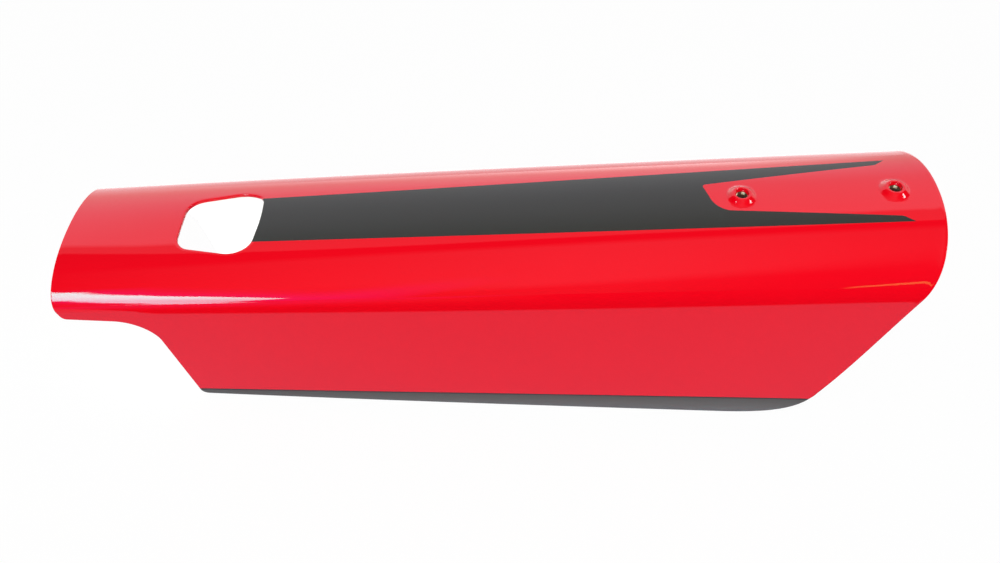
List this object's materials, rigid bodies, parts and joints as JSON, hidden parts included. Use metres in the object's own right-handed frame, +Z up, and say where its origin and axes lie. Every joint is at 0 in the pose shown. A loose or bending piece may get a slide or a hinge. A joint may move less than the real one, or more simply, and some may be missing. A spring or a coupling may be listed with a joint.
{
  "type": "battery cover",
  "caption": "Arched U-section battery cover for a down tube, with a latch window, raised cage bosses holding threaded inserts, a forked stripe and an inward-curling lip.",
  "frame": {"origin": "on the surface that the cover stands on, in the middle of its length and of its width", "axes": "+X along the cover to its high end, the end with the bosses; +Z up, out of the crown; +Y to the cover's left"},
  "size_m": [0.388, 0.088, 0.133],
  "materials": {
    "paint": "moulded plastic, painted gloss red outside, with a matt black forked stripe on the crown and a matt black lip; the inside is bare pale plastic",
    "insert_metal": "machined"
  },
  "bodies": {
    "root": {"cover_shell": "paint", "threaded_insert_lower": "insert_metal", "threaded_insert_upper": "insert_metal"}
  },
  "joints": []
}
